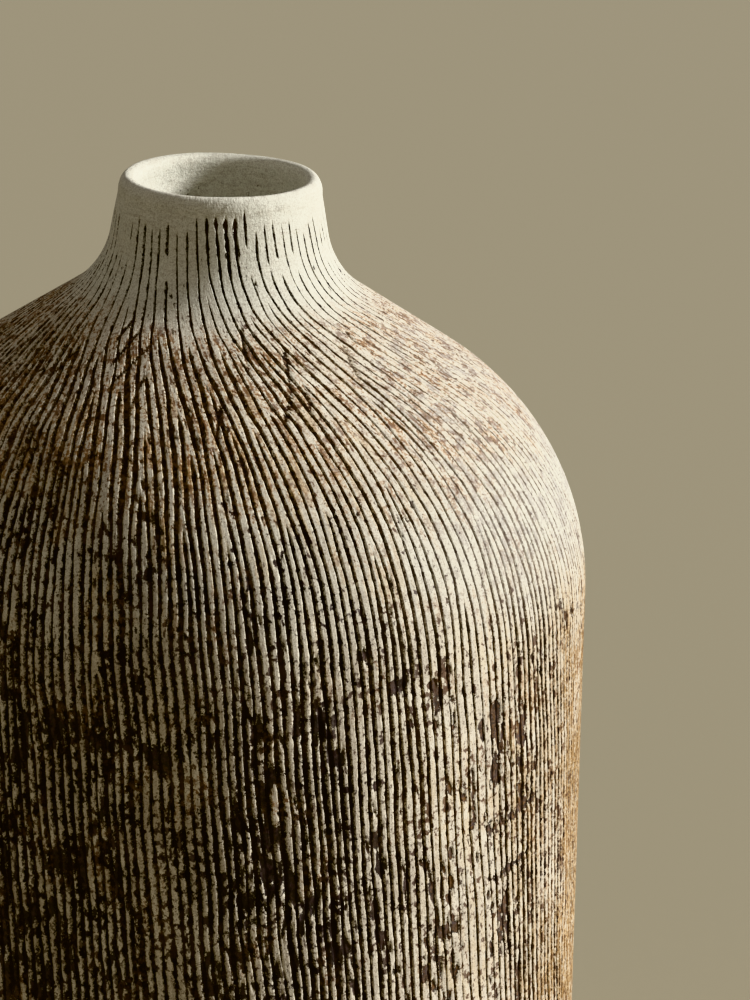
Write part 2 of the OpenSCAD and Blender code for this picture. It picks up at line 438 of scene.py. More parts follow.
# half the width of a stroke: narrower on the lit face, wider in the shade, mm
half_width = NECK_HALF + (CROWN_HALF - NECK_HALF) * smooth(26, 60, S)
half_width = half_width + (BODY_HALF - CROWN_HALF) * smooth(70, 150, S)
half_width = half_width * (0.82 + 0.36 * dark_side * smooth(30, 60, S)) * (1 - 0.16 * pale_side)
turned = np.degrees((THETA + math.pi) % TAU - math.pi)      # azimuth, -180 to 180
lit_face = smooth(-64, -46, turned) * (1 - smooth(-42, -28, turned))
front_face = smooth(-98, -82, turned) * (1 - smooth(-60, -46, turned))
shade_face = smooth(0.80, 0.98, dark_side)
half_width = half_width * (1 - lit_face * (0.34 * smooth(60, 100, S) + 0.12 * smooth(140, 180, S)))
half_width = half_width * (1 - 0.12 * azimuth_bump(-6, 34) * low_body)
half_width = half_width * (1 - 0.22 * front_face * height_bump(112, 44))
half_width = half_width * (1 - 0.19 * height_bump(76, 38) * (1 - smooth(0.62, 0.92, dark_side)))
half_width = half_width * (1 + 0.12 * height_bump(70, 34) * smooth(0.50, 0.80, dark_side))
half_width = half_width * (1 - 0.14 * azimuth_bump(-62, 16) * height_bump(128, 26))
half_width = half_width * (1 + shade_face * (0.14 * height_bump(100, 40) + 0.07 * low_body))
half_width = half_width + 0.74 * front_mark * np.clip(blot, 0, 1.2)


# Larger scars: azimuth in degrees, distance below the lip, half its width, half its height, mm,
# and how far it rises per mm to the right
SCARS = [
    (-34.4, 205.5, 10.5, 1.7, 0.16),
    (-34.3, 183.0, 2.3, 9.0, 0.0),
    (-41.2, 173.0, 2.6, 4.5, 0.0),
    (-40.4, 189.5, 2.2, 5.0, 0.1),
    (-35.5, 222.0, 9.0, 1.1, 0.20),
    (-69.4, 177.0, 2.4, 2.6, 0.0),
    (-72.0, 166.0, 2.6, 7.0, 0.0),
    (-60.0, 157.0, 3.2, 2.6, 0.5),
    (-111.4, 170.4, 3.6, 5.0, 0.0),
    (-104.0, 173.0, 4.6, 2.4, -0.1),
    (-95.5, 176.0, 4.2, 3.6, -0.4),
    (-109.6, 209.0, 4.4, 4.4, 0.2),
]


def stroke_field():
    """The comb's cut at each grid point, and how near the point is to a stroke; both 0 to 1."""
    phi, amp, wid = trace_strokes()
    edge = 1 + 0.20 * surface_noise(1.3, 2.2, 3.7) + 0.14 * surface_noise(4.5, 9, 8.8)
    calm = smooth(-60, -34, turned) * smooth(30, 60, S)
    softness = 2.2 - 1.1 * calm
    field, near = np.zeros_like(PHI), np.zeros_like(PHI)
    for j, s in enumerate(row_s):
        i = min(int(s / SIM_STEP), len(sim_s) - 2)
        f = s / SIM_STEP - i
        live = ~np.isnan(phi[i])
        p = phi[i, live] * (1 - f) + np.where(np.isnan(phi[i + 1, live]), phi[i, live],
                                              phi[i + 1, live]) * f
        a, w = amp[i, live], wid[i, live]
        p = p % TAU
        order = np.argsort(p)
        p, a, w = p[order], a[order], w[order]
        p = np.concatenate([[p[-1] - TAU], p, [p[0] + TAU]])
        a = np.concatenate([[a[-1]], a, [a[0]]])
        w = np.concatenate([[w[-1]], w, [w[0]]])
        rad = row_p[j, 0]
        at = (col_phi + meander[j] / rad) % TAU
        k = np.clip(np.searchsorted(p, at), 1, len(p) - 1)
        for side in (k - 1, k):
            d = np.abs(at - p[side]) * rad
            fullness = 0.22 + 0.78 * np.minimum(a[side], 1)
            reach = np.maximum(CUT_WIDTH * half_width[j] * w[side] * edge[j] * fullness, 0.05)
            field[j] = np.maximum(field[j], a[side] * (1 - smooth(CUT_FLOOR, CUT_EDGE, d / reach)))
            here = EDGE_LEVEL + (0.88 - d / reach) / softness[j]
            near[j] = np.maximum(near[j], np.minimum(1, a[side] / 0.35) * here)
    return np.clip(field, 0, 1), near


def cross_strokes(field, near):
    """Short strokes that lean the other way, where passes of the comb overlap on the crown."""
    r = np.random.default_rng(SEED + 2)
    slope = np.gradient(row_drift, row_s) * row_p[:, 0]
    for _ in range(CROSS_COUNT):
        at, s0 = r.uniform(0, TAU), r.uniform(CROSS_TOP, CROSS_LOW)
        length, lean = r.uniform(*CROSS_LENGTH), r.uniform(*CROSS_LEAN)
        strength = r.uniform(*CROSS_STRENGTH)
        half = r.uniform(*CROSS_HALF)
        last = None
        for j in np.nonzero((row_s >= s0) & (row_s <= s0 + length))[0]:
            step = 0 if last is None else row_s[j] - last
            last = row_s[j]
            t = (row_s[j] - s0) / length
            tilt = math.tan(math.radians(lean * (1 - 0.5 * t)))
            at += tilt * step / row_p[j, 0]
            across = 1 / math.hypot(1, tilt - slope[j])
            phi = (at - row_drift[j]) % TAU
            d = np.abs((col_phi - phi + math.pi) % TAU - math.pi) * row_p[j, 0] * across
            taper = smooth(0, 0.2, t) * (1 - smooth(0.6, 1.0, t))
            field[j] = np.maximum(field[j], strength * taper * (1 - smooth(0.45, 1.0, d / half)))
            near[j] = np.maximum(near[j], (0.3 + 0.7 * taper) * (1 - d / (2 * half)))
    return field, near


groove, near_groove = cross_strokes(*stroke_field())
shallow = 1 - 0.42 * pale_side

# where the slip chips, flakes and stains, and where shade is painted in, region by region round the pot
crown_band = height_bump(58, 30)
warm_band = smooth(28, 50, S) * (1 - smooth(88, 122, S))
# how readily the slip chips: more low down and in the shade, less on the lit face
chip_bias = (-0.60 + 0.25 * dark_side * low_body + 0.10 * smooth(120, 150, S)
             + 0.12 * height_bump(166, 16) + 0.24 * azimuth_bump(-41, 17) * smooth(145, 170, S)
             + 0.18 * azimuth_bump(-122, 22) * smooth(180, 225, S)
             + 0.10 * azimuth_bump(-70, 10) * smooth(160, 180, S)
             - 0.50 * azimuth_bump(0, 36) * smooth(150, 180, S)
             - 0.16 * azimuth_bump(-72, 16) * height_bump(58, 26)
             - 0.16 * azimuth_bump(-26, 16) * smooth(150, 175, S)
             + 0.28 * height_bump(104, 50) * smooth(0.70, 0.96, dark_side)
             - 0.16 * height_bump(62, 30) * smooth(0.35, 0.7, dark_side)
             - 0.25 * pale_side + 0.34 * surface_noise(22, 40, 1.9))
chip_bias = np.where(S < 20, -2, chip_bias)
chip_noise = (0.62 * surface_noise(2.6, 7.5, 2.2) + 0.42 * surface_noise(1.5, 3.0, 6.1)
              + 0.38 * surface_noise(7.5, 20, 4.4))
chip_level = 0.5 + (chip_noise + chip_bias) / 0.6
ragged_edge = 0.9 * surface_noise(1.4, 2.4, 4.6) + 0.5 * surface_noise(3.2, 4.5, 0.7)
for azimuth, depth, half_across, half_down, lean in SCARS:
    across = ((turned - azimuth + 180) % 360 - 180) * math.pi / 180 * RAD
    down = S - depth + lean * across
    inside = 1 - np.hypot(across / half_across, down / half_down) + ragged_edge
    chip_level = np.maximum(chip_level, 0.5 + np.minimum(1.3 * inside, 0.4))
chip_level = np.clip(chip_level, 0, 1)
chip = smooth(0.42, 0.62, chip_level)

# how dark the clay in the strokes is
stain = np.clip(1.0 - 0.25 * pale_side - 0.15 * height_bump(46, 24) * (1 - dark_side), 0, 1)
ridge_noise = surface_noise(2.3, 26, 15.4)
cluster_noise = surface_noise(11, 15, 3.3)
# flecks, many on the crown and on the shaded side
fleck = (0.70 * crown_band * (1 - 0.20 * lit_side) + 0.35 * dark_side * smooth(50, 90, S)
         + 0.30 * smooth(128, 165, S) + 0.12 * azimuth_bump(-30, 40) * smooth(140, 165, S) - 0.10
         + 1.25 * ridge_noise + 1.0 * cluster_noise)
fleck = np.clip(fleck * smooth(20, 40, S) - 0.15 * pale_side - 0.35 * right_low
                - 0.25 * azimuth_bump(-72, 30) * height_bump(72, 30), 0, 1.4)
# rusty bloom on the crown and low on the right
rust = np.clip(0.56 * warm_band + 0.9 * right_low + 0.10 * dark_side
               + 0.60 * surface_noise(11, 14, 5.3), 0, 1) * smooth(24, 46, S)
rust = rust * (1 - 0.40 * lit_side * smooth(92, 120, S) * (1 - low_body))
# amber runs low on the right
amber = azimuth_bump(-2, 46) * smooth(136, 172, S) * (1.05 + 1.1 * surface_noise(9, 24, 6.6))
amber = np.clip(amber * (0.78 + 0.22 * smooth(190, 230, S)), 0, 1)
# brown stains on the crown and low on the front
umber = smooth(-74, -42, turned) * (1 - smooth(60, 90, turned)) * smooth(125, 160, S)
umber = np.clip(np.maximum(umber, 0.75 * warm_band) * (0.85 + 0.7 * surface_noise(12, 20, 2.9)), 0, 1)
# ochre streaks on the shaded shoulder
ochre = np.clip(0.52 * height_bump(96, 62) * azimuth_bump(-86, 60) + 0.22 * warm_band
                + 0.60 * surface_noise(9, 40, 4.1) - 0.08, 0, 1)
ochre *= smooth(36, 62, S) * (1 - pale_side) * (1 - 0.5 * low_body)
ochre = np.maximum(ochre, 0.5 * umber * (1 - warm_band))
# dull slip low on the right and at random, and painted shade: the slip darkened on the shaded side and on
# the shaded crown
grime_and_shade = np.clip(0.30 * dark_side * smooth(64, 112, S) + 0.06 * crown_band * dark_side
                + 0.34 * azimuth_bump(2, 30) * smooth(150, 190, S)
                + 0.22 * surface_noise(18, 24, 8.1), 0, 1)
# clean pale slip, mostly on the neck
pale = np.clip(1 - 0.72 * warm_band - 0.40 * smooth(92, 122, S) - 0.48 * smooth(120, 160, S)
               + 0.25 * pale_side * (1 - warm_band), 0, 1)

# depth of strokes and chips below the crest of the ridges, mm
relief = np.maximum(groove * shallow, 0.54 * chip)
relief += 0.06 * surface_noise(6, 9, 4.9) * (S > 12) + 0.06 * chip * surface_noise(1.2, 1.6, 9.9)
wall_depth = np.clip(GROOVE_D * relief + 0.10, 0.0, None)
wall_depth *= smooth(0.0, 4.0, S)         # none on the crest of the lip


TOOL_DEPTH = 0.26       # depth of the marks on the lip, mm


def tool_marks():
    """Fine slanting marks of the sponge on the outer edge of the lip, mm."""
    across = LIP_R * THETA * 0.72 + S * 0.69
    length = S * 0.72 - LIP_R * THETA * 0.69
    marks = noise3(across / 0.85, length / 8.0, 0 * S + 3.3)
    return TOOL_DEPTH * marks * azimuth_bump(-78, 66) * height_bump(3.0, 4.6)


wall_depth += tool_marks()

R_OUT = row_p[:, 0][:, None] + row_n[:, 0][:, None] * -wall_depth
Z_OUT = row_p[:, 1][:, None] + row_n[:, 1][:, None] * -wall_depth


# ------------------------------------------------------------------ mesh making
def mesh_from_grid(name, r, z, phi, flags, fields):
    """A turned piece: rows of r and z over the angles phi, closed round the axis and in section."""
    rows, cols = r.shape
    verts = np.stack([r * np.cos(phi), r * np.sin(phi), z], -1).reshape(-1, 3) * MM
    jj, kk = np.meshgrid(np.arange(rows), np.arange(cols), indexing="ij")
    j2, k2 = (jj + 1) % rows, (kk + 1) % cols
    quads = np.stack([jj * cols + kk, j2 * cols + kk, j2 * cols + k2, jj * cols + k2], -1)
    quads = quads.reshape(-1, 4)
    me = bpy.data.meshes.new(name)
    me.vertices.add(len(verts))
    me.vertices.foreach_set("co", verts.astype(np.float32).ravel())
    me.loops.add(quads.size)
    me.loops.foreach_set("vertex_index", quads.astype(np.int32).ravel())
    me.polygons.add(len(quads))
    me.polygons.foreach_set("loop_start", (np.arange(len(quads)) * 4).astype(np.int32))
    me.update(calc_edges=True)
    me.polygons.foreach_set("use_smooth", np.ones(len(quads), bool))
    # sharp edges along the rows where the section turns a corner
    ends = np.empty(len(me.edges) * 2, np.int32)
    me.edges.foreach_get("vertices", ends)
    end_rows = ends.reshape(-1, 2) // cols
    is_sharp = (end_rows[:, 0] == end_rows[:, 1]) & flags[end_rows[:, 0]]
    me.attributes.new("sharp_edge", "BOOLEAN", "EDGE").data.foreach_set("value", is_sharp)
    for key, field in fields.items():
        a = me.attributes.new(key, "FLOAT_VECTOR" if field.ndim == 3 else "FLOAT", "POINT")
        a.data.foreach_set("vector" if field.ndim == 3 else "value", field.astype(np.float32).ravel())
    obj = bpy.data.objects.new(name, me)
    bpy.context.scene.collection.objects.link(obj)
    return obj


def bake_map(obj, run_s, count):
    """Unrolls a ring for its baked colours: the outside in strips over most of the map, the rest above.

    run_s is the running length along the section at each row and back at the first row, and the
    outside is its first count rows.
    """
    rows = len(run_s) - 1
    jj, kk = np.meshgrid(np.arange(rows), np.arange(COLUMNS), indexing="ij")
    first = np.ceil(np.arange(STRIPS + 1) * COLUMNS / STRIPS)
    strip = kk * STRIPS // COLUMNS
    u0 = (kk - first[strip]) / (first[strip + 1] - first[strip])
    du = 1 / (first[strip + 1] - first[strip])
    outside = jj < count - 1
    lo = np.where(outside, run_s[0], run_s[count - 1])
    span = np.where(outside, run_s[count - 1] - run_s[0], run_s[-1] - run_s[count - 1])
    cell = np.where(outside, OUTSIDE_SHARE, 1 - OUTSIDE_SHARE) / STRIPS
    floor_v = np.where(outside, 0, OUTSIDE_SHARE) + strip * cell
    v0 = floor_v + cell * (MAP_GAP + (1 - 2 * MAP_GAP) * (run_s[jj] - lo) / span)
    v1 = floor_v + cell * (MAP_GAP + (1 - 2 * MAP_GAP) * (run_s[jj + 1] - lo) / span)
    us = np.stack([u0, u0, u0 + du, u0 + du], -1) * (1 - 2 * MAP_EDGE) + MAP_EDGE
    vs = np.stack([v0, v1, v1, v0], -1)
    layer = obj.data.uv_layers.new(name="OFBake")
    layer.data.foreach_set("uv", np.stack([us, vs], -1).astype(np.float32).ravel())


TURNING_DEPTH = 0.16    # soft rings of the turning on the inside, mm
GRIT_DEPTH = 0.09       # and its roughness
LIP_WAVE = 0.30         # how far the lip is off level and off round, mm
LIP_DENT = 0.10         # small dents of the fingers in it
STREAM = PHI + meander / RAD        # angle that runs with the strokes
FLOW = np.stack([BODY_R * np.cos(STREAM), BODY_R * np.sin(STREAM), S], -1) * MM
# the grime field also carries painted shade on the shaded side
FIELDS = {"groove": near_groove, "chip": chip_level, "tan": pale_side, "amber": amber, "stain": stain,
          "fleck": fleck, "rust": rust, "grime_and_shade": grime_and_shade, "pale": pale, "umber": umber, "ochre": ochre}


def seam_to_row(i):
    """Row of the outside that lies on seam i."""
    return seam_row[round(marks[len(seams) - i], 6)]


def ring_piece(name, top, bottom, material):
    """One section of the wall between two seams, as a closed ring.

    top and bottom are indexes into seams, or None for the lip and the foot.
    """
    j0 = 0 if top is None else seam_to_row(top)
    j1 = len(row_s) - 1 if bottom is None else seam_to_row(bottom)
    outside = slice(j0, j1 + 1)
    count = j1 - j0 + 1
    # radius and height of the rows after the outside, and whether the section has a corner there
    extra, sharp = [], []
    if bottom is None:
        slab_r = wall_foot[0] - WALL_T / 2
        half_up = FOOT_H + BASE_T / 2
        extra += [[slab_r, FOOT_H], [slab_r, half_up], [in_foot[0], half_up], in_foot]
        s_low = INNER.end
    else:
        a, b, c, s_low = joints[bottom]
        extra += [a, b, c]
    sharp += [True] * len(extra)
    s_high = 0.0
    if top is not None:
        a, b, c, s_high = joints[top]
    step = BORE_ROW if s_high < 20 else INNER_ROW
    inner_s = np.linspace(s_low, s_high, max(2, int(round((s_low - s_high) / step))) + 1)[1:]
    if top is None:
        inner_s = inner_s[:-1]
    lo = len(extra)
    hi = lo + len(inner_s)
    extra += list(INNER.at(inner_s))
    sharp += [False] * len(inner_s)
    if top is not None:
        sharp[-1] = True
        extra += [b, a]
        sharp += [True, True]
    extra = np.array(extra, float)
    ones = np.ones((len(extra), COLUMNS))
    er, ez = extra[:, 0][:, None] * ones, extra[:, 1][:, None] * ones
    # the inside keeps soft rings from the turning, but not on the edge of a joint
    depth = inner_s[:, None]
    cx, cy = er[lo:hi] * np.cos(col_phi), er[lo:hi] * np.sin(col_phi)
    rings = TURNING_DEPTH * noise3(cx / 30 + 3, cy / 30, depth / 4.0)
    rings += GRIT_DEPTH * noise3(cx / 2.2, cy / 2.2, depth / 5.0)
    if top is not None:
        rings[-1] = 0
    er[lo:hi] += rings
    # angles: the outer rows follow the strokes, the rest turns back to the first row's angle
    t = np.linspace(0, 1, len(extra) + 2)[1:-1]
    back = row_drift[j1] + (row_drift[j0] - row_drift[j1]) * t
    r = np.concatenate([R_OUT[outside], er])
    z = np.concatenate([Z_OUT[outside], ez])
    phi = col_phi[None, :] + np.concatenate([row_drift[outside], back])[:, None]
    if top is None:
        # a lip finished by hand: a little off level and off round
        lift = smooth(VASE_H - RIM_H, VASE_H - 2, z)
        z = z + LIP_WAVE * lift * noise3(1.2 * np.cos(phi) + 5, 1.2 * np.sin(phi), 0 * phi)
        r = r + LIP_WAVE * lift * noise3(1.7 * np.cos(phi), 1.7 * np.sin(phi) + 9, 0 * phi)
        r = r + LIP_DENT * lift * noise3(8 * np.cos(phi), 8 * np.sin(phi), z / 3.0)
    flags = np.zeros(count, bool)
    flags[0], flags[-1] = top is not None, True
    # inside the pot there is clean slip with no strokes or stains
    fields = {}
    for key, field in FIELDS.items():
        fields[key] = np.concatenate([field[outside], (1.0 if key == "pale" else 0.0) * ones])
    run = (row_s[j1] + np.cumsum(np.hypot(*np.diff(np.vstack([row_p[j1], extra]), axis=0).T)))[:, None]
    run_s = np.concatenate([row_s[outside], run[:, 0], [run[-1, 0] + np.hypot(*(row_p[j0] - extra[-1]))]])
    inner_flow = np.stack([er * np.cos(PHI[:1]), er * np.sin(PHI[:1]), run * ones], -1) * MM
    fields["flow"] = np.concatenate([FLOW[outside], inner_flow])
    obj = mesh_from_grid(name + "_piece", r, z, phi, np.concatenate([flags, sharp]), fields)
    obj.data.materials.append(material)
    bake_map(obj, run_s, count)
    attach(obj, "root")
    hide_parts(name)


# ------------------------------------------------------------------- materials
def make_material(name):
    """A material, its node tree and its shader."""
    m = bpy.data.materials.new(name)
    m.use_nodes = True
    nt = m.node_tree
    bsdf = nt.nodes["Principled BSDF"]
    return m, nt, bsdf


def node(nt, kind, **settings):
    """A new node with these settings."""
    n = nt.nodes.new(kind)
    for k, v in settings.items():
        setattr(n, k, v)
    return n


def link(nt, a, b):
    nt.links.new(a, b)


def attribute(nt, key):
    """A field of the mesh."""
    return node(nt, "ShaderNodeAttribute", attribute_name=key).outputs["Fac"]


def math_node(nt, op, a, b=None, c=None, clamp=False):
    """Sockets or numbers combined by op."""
    n = node(nt, "ShaderNodeMath", operation=op, use_clamp=clamp)
    for i, v in enumerate((a, b, c)):
        if v is None:
            continue
        if isinstance(v, (int, float)):
            n.inputs[i].default_value = v
        else:
            link(nt, v, n.inputs[i])
    return n.outputs[0]


def ramp(nt, value, lo, hi, out_lo=0.0, out_hi=1.0):
    """A soft rise from out_lo to out_hi as value goes from lo to hi."""
    n = node(nt, "ShaderNodeMapRange", interpolation_type="SMOOTHSTEP")
    link(nt, value, n.inputs["Value"])
    for key, v in (("From Min", lo), ("From Max", hi), ("To Min", out_lo), ("To Max", out_hi)):
        n.inputs[key].default_value = v
    return n.outputs[0]


def mix_colour(nt, factor, a, b):
    """Colour a at factor 0 and b at 1."""
    n = node(nt, "ShaderNodeMix", data_type="RGBA")
    for sock, v in ((n.inputs[0], factor), (n.inputs[6], a), (n.inputs[7], b)):
        if isinstance(v, (int, float)):
            sock.default_value = v
        elif isinstance(v, tuple):
            sock.default_value = (*v, 1.0)
        else:
            link(nt, v, sock)
    return n.outputs[2]


def noise(nt, coords, scale, detail=3.0, rough=0.55, stretch=None):
    """Noise in the object's own metres; scale is features per metre."""
    if stretch is not None:
        m = node(nt, "ShaderNodeMapping")
        m.inputs["Scale"].default_value = stretch
        link(nt, coords, m.inputs["Vector"])
        coords = m.outputs["Vector"]
    n = node(nt, "ShaderNodeTexNoise")
    n.inputs["Scale"].default_value = scale
    n.inputs["Detail"].default_value = detail
    n.inputs["Roughness"].default_value = rough
    link(nt, coords, n.inputs["Vector"])
    return n.outputs["Fac"]


CREAM_BODY = (0.795, 0.73, 0.59)
CREAM_DULL = (0.60, 0.535, 0.425)
CREAM_PALE = (0.70, 0.69, 0.585)
DARK_CLAY = (0.019, 0.0140, 0.0130)
BROWN_CLAY = (0.060, 0.041, 0.036)
RUST = (0.39, 0.220, 0.100)
OCHRE = (0.57, 0.440, 0.250)
HEATHER = (0.26, 0.190, 0.155)
SMOKE = (0.068, 0.052, 0.054)
GRIME_AND_SHADE = (0.19, 0.140, 0.100)
# grime colour, also used for the painted shade on the shaded side
TAN = (0.33, 0.27, 0.205)
ASH = (0.38, 0.350, 0.310)
AMBER = (0.43, 0.285, 0.130)
BRONZE = (0.20, 0.110, 0.042)
UMBER = (0.125, 0.067, 0.035)
# bare clay: dark, light and flecks
TOASTED_CLAY = ((0.20, 0.115, 0.065), (0.34, 0.22, 0.135), (0.05, 0.03, 0.02))
INNER_CLAY = ((0.12, 0.075, 0.045), (0.22, 0.15, 0.10), (0.04, 0.025, 0.018))
FLOOR_COLOUR = (0.31, 0.277, 0.190)
SURROUND_COLOUR = (1.0, 0.93, 0.86)
# features per metre of the noises that colour the wall
DUST, GRIT, PIT, NICK, FINE, SPOT, PATCH = 3000, 1300, 820, 520, 560, 260, 60
CLAY_FINE, CLAY_PATCH = 420, 35
# shine of slip and of bare clay, and the height of their fine grain, mm
SLIP_SHINE, CLAY_SHINE = 0.20, 0.25
SLIP_BUMP, CLAY_BUMP = 0.32, 0.30
BUMP_STRENGTH = 0.6


def centred(nt, value, gain):
    """gain times how far a noise is from its middle."""
    return math_node(nt, "MULTIPLY", math_node(nt, "SUBTRACT", value, 0.5), gain)


def add(nt, *terms):
    """The sum of two or more values."""
    total = terms[0]
    for t in terms[1:]:
        total = math_node(nt, "ADD", total, t)
    return total


def times(nt, a, b):
    """a times b."""
    return math_node(nt, "MULTIPLY", a, b)


def scored_material(name, brushed=False):
    """Cream slip combed through to dark clay, with its stains and painted shade; brushed is the plain lip.
    """
    m, nt, bsdf = make_material(name)
    coords = node(nt, "ShaderNodeTexCoord").outputs["Object"]
    groove_a, chip_a, stain_a, fleck_a, rust_a = (attribute(nt, k) for k in (
        "groove", "chip", "stain", "fleck", "rust"))
    # the grime field among these also carries painted shade on the shaded side
    grime_and_shade_a, pale_a, tan_a, amber_a, umber_a, ochre_a = (attribute(nt, k) for k in (
        "grime_and_shade", "pale", "tan", "amber", "umber", "ochre"))

    flow = node(nt, "ShaderNodeAttribute", attribute_name="flow").outputs["Vector"]

    dust = noise(nt, coords, DUST, 2, 0.6)
    grit = noise(nt, coords, GRIT, 3, 0.65)
    fine = noise(nt, coords, FINE, 4, 0.65)
    spot = noise(nt, coords, SPOT, 4, 0.7)
    patch = noise(nt, coords, PATCH, 4, 0.6)
    streak = noise(nt, flow, FINE, 3, 0.6, (1, 1, 0.12))
    rings = noise(nt, coords, GRIT, 3, 0.6, (0.12, 0.12, 1))

    # cream slip, paler on the neck and the lit shoulder, dirtier elsewhere, and darkened as painted shade
    # on the shaded side
    cream = mix_colour(nt, ramp(nt, add(nt, streak, centred(nt, patch, 0.8)), 0.38, 0.62),
                       CREAM_DULL, CREAM_BODY)
    cream = mix_colour(nt, times(nt, pale_a, ramp(nt, spot, 0.2, 0.6, 0.75, 1.0)), cream, CREAM_PALE)
    # painted shade mixed with grime: the slip darkened on the shaded side where the grime field is high
    soil_and_shade = times(nt, grime_and_shade_a, ramp(nt, add(nt, spot, centred(nt, fine, 0.5)), 0.34, 0.66, 0.35, 1.0))
    cream = mix_colour(nt, soil_and_shade, cream, GRIME_AND_SHADE)
    brush = ramp(nt, rings, 0.48, 0.66, 0, 0.17 if brushed else 0.14)
    cream = mix_colour(nt, times(nt, brush, add(nt, times(nt, pale_a, 0.7), 0.3)), cream, GRIME_AND_SHADE)
    worn = add(nt, spot, centred(nt, grit, 0.6), centred(nt, patch, 0.5))
    cream = mix_colour(nt, times(nt, tan_a, ramp(nt, worn, 0.45, 0.57, 0, 0.80)), cream, ASH)
    dirt = times(nt, ramp(nt, add(nt, dust, centred(nt, grit, 0.6)), 0.58, 0.70, 0, 0.55),
                 add(nt, times(nt, pale_a, -0.65), 1.0))
    cream = mix_colour(nt, dirt, cream, GRIME_AND_SHADE)
    sandy = ramp(nt, add(nt, streak, centred(nt, spot, 0.5)), 0.44, 0.60)
    cream = mix_colour(nt, times(nt, ochre_a, sandy), cream, OCHRE)

    # a sandy grain all over
    grain = ramp(nt, add(nt, dust, centred(nt, grit, 0.5)), 0.40, 0.64, 0, 0.34)
    cream = mix_colour(nt, grain, cream, GRIME_AND_SHADE)

    # flecks where slip has lifted or iron has bled through
    nick = noise(nt, flow, NICK, 1.5, 0.55, (1, 1, 0.8))
    bite = ramp(nt, add(nt, nick, centred(nt, grit, 0.35)), 0.545, 0.605)
    wash = add(nt, streak, centred(nt, spot, 0.9), centred(nt, nick, 0.8), centred(nt, grit, 1.0),
               times(nt, rust_a, 0.10))
    bloom = mix_colour(nt, ramp(nt, spot, 0.50, 0.60), RUST, HEATHER)
    cream = mix_colour(nt, times(nt, ramp(nt, wash, 0.52, 0.64, 0, 0.90), rust_a), cream, bloom)
    cream = mix_colour(nt, times(nt, ramp(nt, wash, 0.64, 0.74, 0, 0.75), rust_a), cream, UMBER)
    cream = mix_colour(nt, times(nt, amber_a, ramp(nt, wash, 0.36, 0.60, 0.35, 0.90)), cream, AMBER)
    run = add(nt, streak, centred(nt, grit, 0.7), centred(nt, spot, 0.5))
    cream = mix_colour(nt, times(nt, amber_a, ramp(nt, run, 0.46, 0.58, 0, 0.90)), cream, BRONZE)
    fringe = add(nt, groove_a, centred(nt, nick, 1.1), centred(nt, grit, 1.0))
    stained = add(nt, times(nt, umber_a, 0.75), times(nt, ochre_a, 0.5))
    fringe = times(nt, ramp(nt, fringe, 0.40, 0.56, 0, 0.8), stained)
    cream = mix_colour(nt, fringe, cream, mix_colour(nt, ramp(nt, spot, 0.42, 0.58), OCHRE, BRONZE))
    mark_colour = mix_colour(nt, ramp(nt, spot, 0.46, 0.60), BROWN_CLAY, SMOKE)
    mark_colour = mix_colour(nt, times(nt, rust_a, ramp(nt, spot, 0.42, 0.56, 0, 0.6)), mark_colour, RUST)
    browner = times(nt, umber_a, ramp(nt, fine, 0.42, 0.58, 0.55, 0.95))
    mark_colour = mix_colour(nt, browner, mark_colour, UMBER)
    mark = add(nt, nick, centred(nt, spot, 0.45), centred(nt, grit, 0.35), times(nt, fleck_a, 0.125))
    mark = add(nt, mark, times(nt, pale_a, -0.30 if brushed else -0.12))
    cream = mix_colour(nt, ramp(nt, mark, 0.655, 0.69, 0, 0.90), cream, mark_colour)
    # small pits, more of them beside the strokes and few on the pale neck
    pit = noise(nt, flow, PIT, 2, 0.6, (1, 1, 0.7))
    pit = add(nt, pit, centred(nt, grit, 0.35), times(nt, groove_a, 0.07))
    pit = add(nt, pit, times(nt, pale_a, -0.30 if brushed else -0.09), times(nt, fleck_a, 0.03))
    cream = mix_colour(nt, ramp(nt, pit, 0.608, 0.640, 0, 0.76), cream, mark_colour)

    # dark clay in strokes and chips, with ragged, bitten edges
    ragged = add(nt, centred(nt, nick, 0.6), centred(nt, grit, 0.85), centred(nt, dust, 0.45))
    bitten = times(nt, bite, add(nt, times(nt, fleck_a, 0.20), times(nt, pale_a, -0.04), 0.05))
    cut = times(nt, ramp(nt, add(nt, groove_a, ragged, bitten), 0.56, 0.68), stain_a)
    chip_m = ramp(nt, add(nt, chip_a, ragged, centred(nt, fine, 0.8)), 0.46, 0.56, 0, 0.96)
    dark = math_node(nt, "MAXIMUM", cut, chip_m)
    clay = mix_colour(nt, ramp(nt, add(nt, patch, centred(nt, fine, 0.6)), 0.50, 0.68),
                      DARK_CLAY, BROWN_CLAY)
    clay = mix_colour(nt, times(nt, rust_a, ramp(nt, fine, 0.45, 0.65, 0, 0.48)), clay, RUST)
    middle = ramp(nt, add(nt, chip_a, ragged, centred(nt, fine, 1.0)), 0.62, 0.90, 0.2, 1.0)
    clay = mix_colour(nt, times(nt, tan_a, ramp(nt, spot, 0.3, 0.6, 0.45, 0.75)), clay, TAN)
    browned = times(nt, umber_a, ramp(nt, add(nt, spot, centred(nt, grit, 0.8)), 0.38, 0.62, 0.2, 1.0))
    clay = mix_colour(nt, times(nt, browned, middle), clay, UMBER)
    sooty = ramp(nt, add(nt, fine, centred(nt, spot, 0.9), centred(nt, grit, 0.8)), 0.52, 0.60, 0, 0.9)
    clay = mix_colour(nt, times(nt, middle, sooty), clay, SMOKE)
    burnt = add(nt, nick, centred(nt, fine, 0.9), centred(nt, grit, 1.0))
    burnt = times(nt, middle, ramp(nt, burnt, 0.53, 0.62, 0, 0.75))
    clay = mix_colour(nt, times(nt, browned, burnt), clay, BRONZE)
